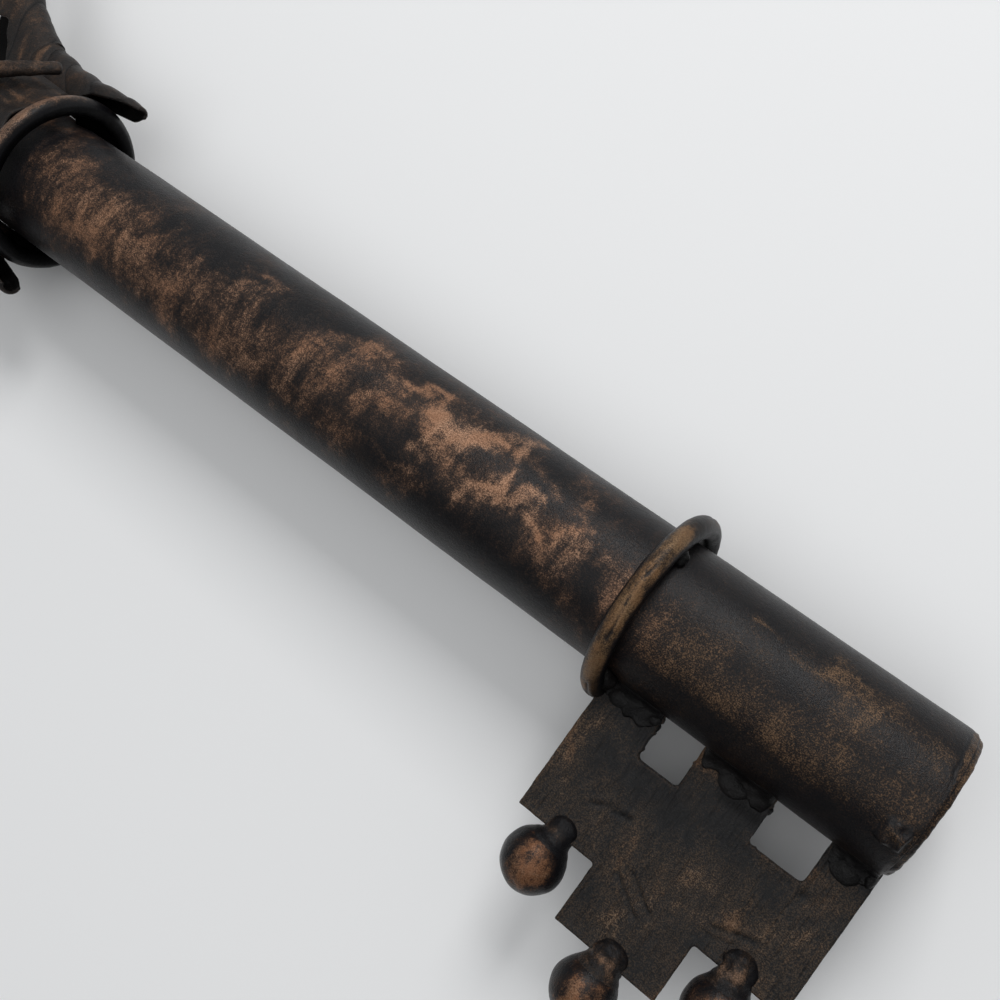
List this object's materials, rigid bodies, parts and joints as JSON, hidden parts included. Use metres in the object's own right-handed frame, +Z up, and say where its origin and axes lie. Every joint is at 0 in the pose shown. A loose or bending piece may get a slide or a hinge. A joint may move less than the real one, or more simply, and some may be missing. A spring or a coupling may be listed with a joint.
{
  "type": "decorative key",
  "caption": "Large ornamental key of welded steel with a tube shank, rod collars, a windowed plate bit with ball studs, and an open scrolled bow with sheet leaves.",
  "frame": {"origin": "on the surface that the key lies on, under the middle of its length and width", "axes": "+X along the shank towards the tip, -Y towards the bit, +Z up from the back of the key to its front"},
  "size_m": [0.5592, 0.196, 0.0612],
  "materials": {
    "shank": "satin",
    "plate": "satin",
    "collars": "satin",
    "balls": "satin",
    "stems": "satin",
    "welds": "satin",
    "bars": "satin",
    "bands": "satin",
    "leaves": "satin"
  },
  "bodies": {
    "root": {"shank_tube": "shank", "tip_plug": "shank", "bow_end_plug": "shank", "bit_plate": "plate", "lower_collar": "collars", "upper_collar": "collars", "ball_inner": "balls", "ball_middle": "balls", "ball_outer": "balls", "finial_ball": "balls", "stem_inner": "stems", "stem_middle": "stems", "stem_outer": "stems", "bit_weld_beads": "welds", "lower_collar_tacks": "welds", "upper_collar_tacks": "welds", "bow_bar_right": "bars", "bow_bar_left": "bars", "centre_bar": "bars", "inner_scroll_right": "bars", "inner_scroll_left": "bars", "hanging_eye": "bars", "binding_right": "bands", "binding_left": "bands", "side_leaf_right": "leaves", "side_leaf_left": "leaves", "crown_leaf_right": "leaves", "crown_leaf_left": "leaves", "front_leaf": "leaves", "front_lobe_right": "leaves", "front_lobe_left": "leaves", "centre_leaf": "leaves"}
  },
  "joints": []
}
